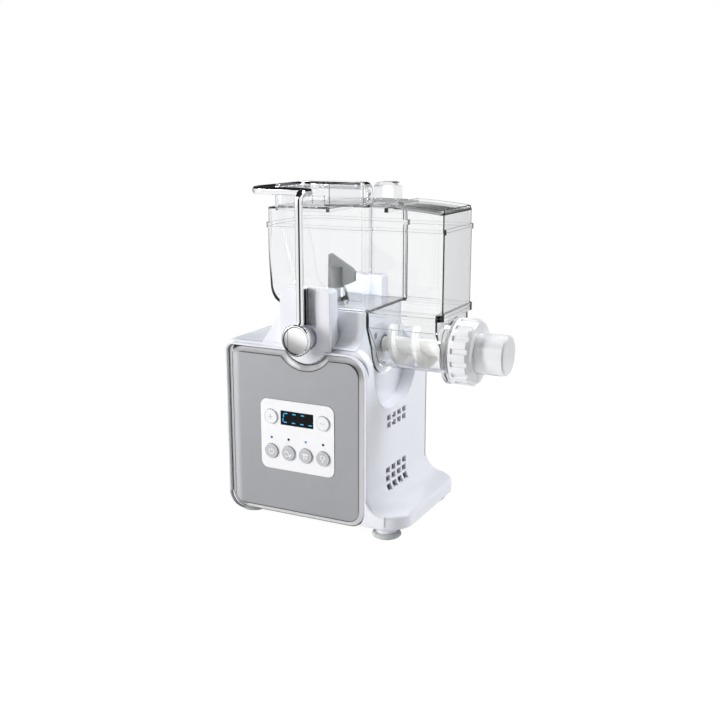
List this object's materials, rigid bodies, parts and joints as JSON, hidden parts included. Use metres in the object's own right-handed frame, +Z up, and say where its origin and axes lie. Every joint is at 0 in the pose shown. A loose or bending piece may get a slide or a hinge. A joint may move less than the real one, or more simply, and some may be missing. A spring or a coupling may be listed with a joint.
{
  "type": "electric pasta maker",
  "caption": "Electric pasta maker with a clear mixing bowl and paddle above a geared screw extruder, a spaghetti die, a control panel and a locking bail handle.",
  "frame": {"origin": "floor point under the middle of the machine's outline", "axes": "+X towards the die along the extruder, -Y out of the control panel, +Z up"},
  "size_m": [0.282, 0.1736, 0.347],
  "materials": {
    "housing_white": "smooth white moulding",
    "cover_silver": "satin silver grey",
    "nozzle_white": "smooth white moulding",
    "panel_steel": "satin silver",
    "rim_metal": "bright bevelled edge",
    "plate_white": "glossy white",
    "button_white": "glossy white",
    "button_grey": "pearl grey",
    "display_black": "black window",
    "display_blue": "lit light blue",
    "light_blue": "lit blue",
    "clear_plastic": "clear polished",
    "paddle_grey": "satin grey",
    "screw_plastic": "smooth off-white",
    "die_plastic": "off-white insert",
    "chrome": "polished",
    "hub_grey": "satin grey",
    "steel": "machined",
    "motor_metal": "zinc plated can",
    "gear_plastic": "cream acetal",
    "pinion_brass": "cut brass",
    "gearcase_metal": "die cast",
    "bush_bronze": "sintered",
    "board_green": "solder mask",
    "dark_plastic": "black",
    "rubber_grey": "grey rubber",
    "rubber_black": "black rubber",
    "seal_grey": "grey silicone"
  },
  "bodies": {
    "base": {"main_housing": "housing_white", "base_plate": "housing_white", "rear_cover": "cover_silver", "front_panel": "panel_steel", "panel_rim": "rim_metal", "control_plate": "plate_white", "display_window": "display_black", "display_segments": "display_blue", "indicator_lights": "light_blue", "control_board": "board_green", "power_board": "board_green", "power_parts": "dark_plastic", "interlock_switch": "dark_plastic", "cord_gland": "rubber_black", "guide_strips": "chrome", "pivot_pins": "steel", "mixing_bowl": "clear_plastic", "dough_chamber": "clear_plastic", "die_head": "nozzle_white", "die_plate": "die_plastic", "die_seal": "seal_grey", "motor": "motor_metal", "gearbox_case": "gearcase_metal", "gearbox_cover": "gearcase_metal", "cluster_axle": "steel", "shaft_bushes": "bush_bronze", "shaft_seal": "rubber_black", "feet": "rubber_grey", "foot_screws": "steel", "base_screws": "steel", "cover_screws": "steel", "motor_screws": "steel", "gearbox_screws": "steel", "board_screws": "steel"},
    "bail": {"bail_handle": "chrome", "front_knob": "chrome", "rear_knob": "chrome", "front_hub": "hub_grey", "rear_hub": "hub_grey"},
    "lid": {"lid": "clear_plastic", "pour_grate": "clear_plastic"},
    "output": {"output_gear": "gear_plastic", "output_shaft": "steel", "drive_bevel": "gear_plastic", "extruder_screw": "screw_plastic"},
    "cluster": {"cluster_gear": "gear_plastic"},
    "rotor": {"motor_shaft": "steel", "motor_pinion": "pinion_brass", "cooling_fan": "dark_plastic"},
    "mixer": {"mixer_bevel": "gear_plastic", "mixer_shaft": "steel", "mixing_paddle": "paddle_grey"},
    "nut": {"ring_nut": "nozzle_white"},
    "power_key": {"power_button": "button_grey"},
    "mix_key": {"mix_button": "button_grey"},
    "extrude_key": {"extrude_button": "button_grey"},
    "program_key": {"program_button": "button_grey"},
    "plus_key": {"plus_button": "button_white"},
    "minus_key": {"minus_button": "button_white"}
  },
  "joints": [
    {"name": "bail_swing", "type": "hinge", "parent": "base", "child": "bail", "pos_m": [-0.0474, 0, 0.197], "axis": [0, -1, 0], "range_deg": [0, 90]},
    {"name": "lid_lift", "type": "slide", "parent": "base", "child": "lid", "axis": [0, 0, 1], "range_m": [0, 0.007]},
    {"name": "output_spin", "type": "hinge", "parent": "base", "child": "output", "pos_m": [0, 0, 0.1836], "axis": [1, 0, 0], "continuous": true},
    {"name": "cluster_spin", "type": "hinge", "parent": "base", "child": "cluster", "pos_m": [0, 0, 0.1446], "axis": [1, 0, 0], "continuous": true},
    {"name": "motor_spin", "type": "hinge", "parent": "base", "child": "rotor", "pos_m": [0, 0, 0.1056], "axis": [1, 0, 0], "continuous": true},
    {"name": "mixer_spin", "type": "hinge", "parent": "base", "child": "mixer", "pos_m": [-0.0474, 0, 0.1836], "axis": [0, 0, 1], "continuous": true},
    {"name": "nut_turn", "type": "hinge", "parent": "base", "child": "nut", "pos_m": [0.09, 0, 0.1836], "axis": [1, 0, 0], "range_deg": [0, 75]},
    {"name": "power_press", "type": "slide", "parent": "base", "child": "power_key", "axis": [0, 1, 0], "range_m": [0, 0.001], "stiffness_N_per_m": 400, "springref_m": -0.0005},
    {"name": "mix_press", "type": "slide", "parent": "base", "child": "mix_key", "axis": [0, 1, 0], "range_m": [0, 0.001], "stiffness_N_per_m": 400, "springref_m": -0.0005},
    {"name": "extrude_press", "type": "slide", "parent": "base", "child": "extrude_key", "axis": [0, 1, 0], "range_m": [0, 0.001], "stiffness_N_per_m": 400, "springref_m": -0.0005},
    {"name": "program_press", "type": "slide", "parent": "base", "child": "program_key", "axis": [0, 1, 0], "range_m": [0, 0.001], "stiffness_N_per_m": 400, "springref_m": -0.0005},
    {"name": "plus_press", "type": "slide", "parent": "base", "child": "plus_key", "axis": [0, 1, 0], "range_m": [0, 0.001], "stiffness_N_per_m": 400, "springref_m": -0.0005},
    {"name": "minus_press", "type": "slide", "parent": "base", "child": "minus_key", "axis": [0, 1, 0], "range_m": [0, 0.001], "stiffness_N_per_m": 400, "springref_m": -0.0005}
  ],
  "couplings": [
    {"joint": "cluster_spin", "follows": "output_spin", "ratio": -3},
    {"joint": "motor_spin", "follows": "output_spin", "ratio": 15},
    {"joint": "mixer_spin", "follows": "output_spin", "ratio": -1}
  ]
}
